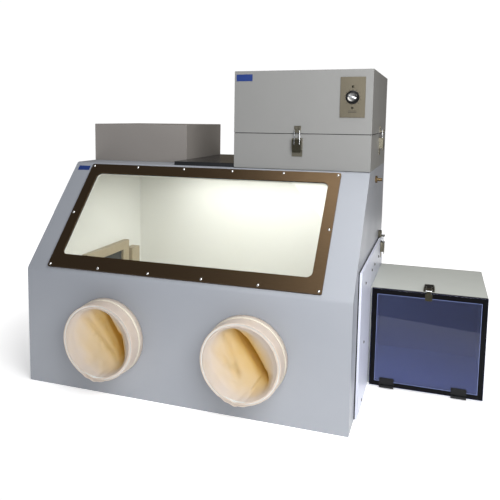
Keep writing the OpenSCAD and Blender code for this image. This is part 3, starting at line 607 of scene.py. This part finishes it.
def tuck(point, start, end, width):
    """A fold along a line: it rises over width metres on one side and drops over a fifth of it."""
    line = end - start
    share = (point - start).dot(line) / line.length_squared
    aside = line.cross(point - start) / line.length
    away = aside / width if aside > 0 else -5 * aside / width
    ends = between(share, -0.12, 0.12) * (1 - between(share, 0.85, 1.15))
    return between(1 - away, 0, 1.2) * ends


def skin_at(angle, deep, lean, aside, creases):
    """Where the skin lies: (across, up, further back) for an angle, deep metres behind the rim.

    The empty sleeve collapses on a slanted line, aside metres off its axis, like a mouth closing.
    It opens a little again towards the wrist, where its flat side has turned level.
    """
    radius = 0.0975 - 0.052 * between(deep, 0.05, 0.25)
    shut = between(deep, -0.02, 0.056) - 0.45 * between(deep, 0.11, 0.27)
    turned = lean + (math.pi / 2 - lean) * between(deep, 0.1, 0.25)
    normal = Vector((math.cos(turned), math.sin(turned)))
    along = Vector((-normal.y, normal.x))
    point = Vector((math.cos(angle), math.sin(angle))) * radius
    flat = point.dot(normal) * (1 - 0.9 * shut) + aside * shut * (1 - between(deep, 0.1, 0.2))
    place = normal * flat + along * point.dot(along) * (1 - 0.16 * shut)
    # Creases are given in the rim's plane, as an eye a little right and above projects them
    seen_at = place + Vector((0.31, 0.4)) * deep
    slack = noise.noise(Vector((seen_at.x * 22, seen_at.y * 22, lean * 5)))
    held = between(deep, 0.0, 0.02)
    back = held * (0.004 * slack + sum(
        strong * tuck(seen_at, start, end, 0.026) for start, end, strong in creases))
    droop = -0.09 * between(deep, 0.07, 0.3)
    return place.x, place.y + droop, back


def in_mm(*lines):
    """Creases from (x0, z0, x1, z1, strength) in mm."""
    return [(Vector(l[:2]) * MM, Vector(l[2:4]) * MM, l[4] * MM) for l in lines]


right_creases = in_mm((-96, 46, -12, -36, 13), (-50, 84, -8, -40, 10), (10, 90, 66, -24, 7),
                      (70, -10, 22, -88, 8), (-70, -30, -30, -70, 5), (-20, -50, -6, -92, 6))
left_creases = in_mm((-60, 70, 40, -40, 12), (-20, 92, 48, -10, 9), (-86, 20, -20, -50, 8),
                     (60, 40, 62, -46, 7), (-40, -52, -10, -90, 6), (8, -50, 4, -92, 5))
print("sleeve half width at 0, 100 and 200 mm:",
      [round(skin_at(0, d, 0.6, 0, [])[0] / MM) for d in (0, 0.1, 0.2)])


# %% Sleeves
arm_length = 0.28


def sleeve(side, lean, aside, creases, seed):
    """One glove's skin from the cabinet's face, over the ring and back to the wrist."""
    low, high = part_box(side + "_glove")
    centre_x, cuff = (low.x + high.x) / 2, (high.x - low.x) / 2
    centre_z = high.z - cuff
    face_y, rim_y = panel_face - 0.001, low.y
    # Each row of the skin: y, radius of the cuff, and how deep behind the rim it lies
    rows = [(face_y + (rim_y + 0.0016 - face_y) * i / 8, cuff + 0.003 * (1 - i / 8) ** 2, 0.0)
            for i in range(9)]
    # Rim: two thin beads, where the cuff is rolled over the ring, with a shallow land between
    for bead, radius in ((cuff - 0.0016, 0.0016), (cuff - 0.0095, 0.0012)):
        rows += [(rim_y + radius * (1 - math.sin(a)), bead + radius * math.cos(a), 0.0)
                 for a in [math.radians(30 * i) for i in range(1, 6)]]
        rows += [(rim_y + 0.0032, bead - radius - 0.0004, 0.0)]
    depths = [arm_length * (i / 80) ** 1.25 for i in range(1, 81)]
    rows += [(rim_y + 0.004 + deep, 0.0, deep) for deep in depths]
    shape = bmesh.new()
    bmesh.ops.create_circle(shape, segments=216, radius=1)
    angle_of = shape.verts.layers.float.new("angle")
    for vert in shape.verts:
        vert[angle_of] = math.atan2(vert.co.y, vert.co.x)
    ring, edges = list(shape.verts), list(shape.edges)
    for i, (y, radius, deep) in enumerate(rows):
        if i:
            grown = bmesh.ops.extrude_edge_only(shape, edges=edges)["geom"]
            ring = [part for part in grown if isinstance(part, bmesh.types.BMVert)]
            edges = [part for part in grown if isinstance(part, bmesh.types.BMEdge)]
        for vert in ring:
            angle = vert[angle_of]
            # The rim hangs to a blunt point at its foot, with small pleats where slack gathers
            painted_floor_reflection = math.remainder(angle + math.pi / 2 + 0.12, 2 * math.pi)
            pleats = 0.0012 * math.exp(-(painted_floor_reflection / 0.4) ** 2) * math.cos(26 * painted_floor_reflection)
            sag = (0.005 * math.exp(-(painted_floor_reflection / 0.3) ** 2) + pleats) * between(-y, 0.385, 0.43)
            ripple = 0.0004 * noise.noise(Vector((math.cos(angle) * 9, math.sin(angle) * 9, seed)))
            if deep:
                across, up, back = skin_at(angle, deep, lean, aside, creases)
                fade = 1 - between(deep, 0.0, 0.03)
                vert.co = (centre_x + across + sag * fade * math.cos(angle), y + back,
                           centre_z + up + sag * fade * math.sin(angle))
            else:
                reach = radius + ripple + sag
                vert.co = (centre_x + reach * math.cos(angle), y,
                           centre_z + reach * math.sin(angle))
    bmesh.ops.recalc_face_normals(shape, faces=shape.faces)
    made = place_piece(shape, side + "_glove_sleeve", [latex], "cabinet",
                       [side + "_glove"])
    wall = made.modifiers.new("latex_wall", "SOLIDIFY")
    wall.thickness, wall.offset = 0.0009, -1
    made.data.shade_smooth()
    print(made.name, len(made.data.vertices), "points")
    return made


sleeve("left", 0.42, 0.034, left_creases, 0.4)
sleeve("right", 0.61, 0.022, right_creases, 2.1)

# %% [markdown]
# The hand hangs empty from the sleeve. Palm, fingers and thumb are stretched spheres that overlap;
# a voxel remesh melts them into one skin, as the dipping form does, and smoothing softens it.


# %% Hands
def hand(side):
    """An empty, slightly curled hand on the end of a sleeve."""
    low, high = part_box(side + "_glove")
    mirror = -1 if side == "left" else 1
    wrist = Vector(((low.x + high.x) / 2, high.y - 0.172, low.z + 0.079))
    along = Vector((0, 0.94, -0.33)).normalized()
    turn = along.to_track_quat("Y", "Z").to_matrix().to_4x4()
    # Each lobe: place across, along and up, half sizes, and its turn about the palm's normal
    lobes = [((0, 0.045, 0), (0.037, 0.052, 0.02), 0), ((0, 0.01, 0.002), (0.03, 0.03, 0.024), 0)]
    knuckles = 0.088
    for i, length in enumerate((0.03, 0.036, 0.034, 0.027)):
        across = mirror * (0.031 - 0.0207 * i)
        finger, tip = knuckles + length * 0.5, knuckles + length * 1.3
        lobes += [((across, finger, -0.004), (0.0102, length, 0.0098), -across * 4),
                  ((across * 1.15, tip, -0.011), (0.0096, 0.018, 0.0092), 0)]
    lobes.append(((mirror * 0.045, 0.05, -0.004), (0.0112, 0.032, 0.0105), -mirror * 0.6))
    shape = bmesh.new()
    for centre, half, swing in lobes:
        made = bmesh.ops.create_uvsphere(shape, u_segments=20, v_segments=14, radius=1)["verts"]
        bmesh.ops.scale(shape, vec=half, verts=made)
        bmesh.ops.rotate(shape, matrix=Matrix.Rotation(swing, 3, "Z"), verts=made)
        bmesh.ops.translate(shape, vec=centre, verts=made)
    bmesh.ops.transform(shape, matrix=Matrix.Translation(wrist) @ turn, verts=shape.verts)
    made = place_piece(shape, side + "_glove_hand", [latex], "cabinet")
    melt = made.modifiers.new("one_skin", "REMESH")
    melt.mode, melt.voxel_size, melt.use_smooth_shade = "VOXEL", 0.0028, True
    relax = made.modifiers.new("relax", "SMOOTH")
    relax.factor, relax.iterations = 0.5, 4
    return made


hands = {side: hand(side) for side in ("left", "right")}
print("hands", [tuple(round(v, 3) for v in h.dimensions) for h in hands.values()])

# %% [markdown]
# The speed knob is three parts pressed together: a moulded skirt with a fluted edge, a spun
# aluminium disc with a shallow dish, and a polished pointer bar across it. Skirt and disc are
# profiles spun round the shaft; the bar is a bevelled block. Tick marks on the plate show its
# travel.

# %% Speed knob
knob_low, knob_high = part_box("speed_knob")
plate_low, plate_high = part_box("control_plate")
knob_x, knob_z = (plate_low.x + plate_high.x) / 2, (plate_low.z + plate_high.z) / 2


def spun(profile, steps=64):
    """A profile of (radius, height) points in mm, spun about the knob's axis."""
    shape = bmesh.new()
    points = [shape.verts.new((r * MM, 0, h * MM)) for r, h in profile]
    lines = [shape.edges.new(pair) for pair in zip(points, points[1:])]
    bmesh.ops.spin(shape, geom=points + lines, cent=(0, 0, 0), axis=(0, 0, 1),
                   angle=math.tau, steps=steps, use_merge=True)
    bmesh.ops.remove_doubles(shape, verts=shape.verts, dist=0.00001)
    bmesh.ops.recalc_face_normals(shape, faces=shape.faces)
    return shape


def on_plate(shape):
    """Turns a shape that points up Z to point out of the plate, at the knob's place."""
    turn = Matrix.Rotation(math.pi / 2, 4, "X")
    stand = Matrix.Translation((knob_x, plate_low.y, knob_z)) @ turn
    bmesh.ops.transform(shape, matrix=stand, verts=shape.verts)
    return shape


skirt = spun([(0, 0.6), (18.6, 0.6), (19, 1), (19, 4.6), (18.4, 5.4), (17, 5.8), (16.2, 7),
              (15.6, 11.4), (14.8, 12.2), (13.9, 12.2), (13.6, 11.9), (0, 11.9)])
flutes = [v for v in skirt.verts if 0.0153 < v.co.xy.length < 0.0164 and v.co.z > 0.006]
for vert in flutes:
    wave = math.cos(24 * math.atan2(vert.co.y, vert.co.x))
    vert.co.xy *= 1 - 0.022 * (0.5 - 0.5 * wave)
knob = place_piece(on_plate(skirt), "speed_knob_skirt", [knob_black], "control_knob",
                   ["speed_knob"])
soften(knob, 0, smooth=50)
disc = spun([(0, 12.25), (8, 12.3), (11.6, 12.6), (12.2, 12.9), (12.6, 12.7), (12.6, 11.8)])
soften(place_piece(on_plate(disc), "speed_knob_disc", [spun_aluminium], "control_knob"), 0, smooth=50)
bar = bmesh.new()
bmesh.ops.create_cube(bar, size=1)
bmesh.ops.scale(bar, vec=(0.024, 0.0056, 0.0035), verts=bar.verts)
bmesh.ops.translate(bar, vec=(0, 0, 0.0139), verts=bar.verts)
bmesh.ops.bevel(bar, geom=bar.edges, offset=0.0008, offset_type="OFFSET", segments=3, profile=0.5,
                affect="EDGES", material=-1)
bmesh.ops.rotate(bar, matrix=Matrix.Rotation(math.radians(-17), 3, "Z"), verts=bar.verts)
soften(place_piece(on_plate(bar), "speed_knob_bar", [handle_steel], "control_knob"), 0)
print("knob in three parts,", round((knob_high.x - knob_low.x) / MM), "mm across when measured")

# %% Dial marks
marks = bmesh.new()
for i in range(11):
    angle = math.radians(225 - 27 * i)
    length, away = (0.0052, 0.0236) if i in (0, 5, 10) else (0.0034, 0.0227)
    made = bmesh.ops.create_cube(marks, size=1)["verts"]
    bmesh.ops.scale(marks, vec=(length, 0.0009, 0.0003), verts=made)
    bmesh.ops.translate(marks, vec=(away, 0, 0.0001), verts=made)
    bmesh.ops.rotate(marks, matrix=Matrix.Rotation(angle, 3, "Z"), verts=made)
# Two plain printed bars stand below the knob
for drop in (0.0385, 0.0425):
    made = bmesh.ops.create_cube(marks, size=1)["verts"]
    bmesh.ops.scale(marks, vec=(0.024, 0.0011, 0.0002), verts=made)
    bmesh.ops.translate(marks, vec=(0, -drop, 0.0001), verts=made)
place_piece(on_plate(marks), "dial_marks", [knob_black], "cabinet")
print("11 dial marks and two bars")

# %% [markdown]
# The smoked door carries a black printed border that hides its seal, and inside it a thin pale line:
# a painted highlight for a chamfer catching the light. Both are flat frames on the door's outer face.

# %% Door border
def face_frame(name, outer, inner, lift, material):
    """A flat frame on the door's face between two insets in mm, lift mm in front of it."""
    shape = bmesh.new()
    loops = []
    for inset in (outer * MM, inner * MM):
        x0, x1 = door_low.x + inset, door_high.x - inset
        z0, z1 = door_low.z + inset, door_high.z - inset
        y = door_low.y - lift * MM
        corners = ((x0, y, z0), (x1, y, z0), (x1, y, z1), (x0, y, z1))
        loops.append([shape.verts.new(corner) for corner in corners])
    for i in range(4):
        j = (i + 1) % 4
        shape.faces.new((loops[0][i], loops[0][j], loops[1][j], loops[1][i]))
    bmesh.ops.recalc_face_normals(shape, faces=shape.faces)
    grown = bmesh.ops.extrude_face_region(shape, geom=list(shape.faces))["geom"]
    bmesh.ops.translate(shape, vec=(0, -0.1 * MM, 0),
                        verts=[part for part in grown if isinstance(part, bmesh.types.BMVert)])
    bmesh.ops.recalc_face_normals(shape, faces=shape.faces)
    return place_piece(shape, name, [material], nodes["outer_door"]["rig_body"])


border_print = coated("screen_printed_black_border", "#07070a", "#0a0a0e", 0.22, drift=60,
                      grain=1.5, relief=0.004, Specular_IOR_Level=0.08)
# A flat pale blue strip: a painted highlight where a chamfer would catch the light
painted_chamfer_highlight = coated("painted_highlight_on_chamfer", "#6f7cae", "#66739f", 0.2, drift=40, grain=1.5,
                      relief=0.004)
face_frame("door_border_print", 1.5, 15.5, 0.05, border_print)
face_frame("door_painted_highlight_line", 15.5, 16.8, 0.05, painted_chamfer_highlight)
print("border on the door", [round(v, 3) for v in (*door_low, *door_high)])
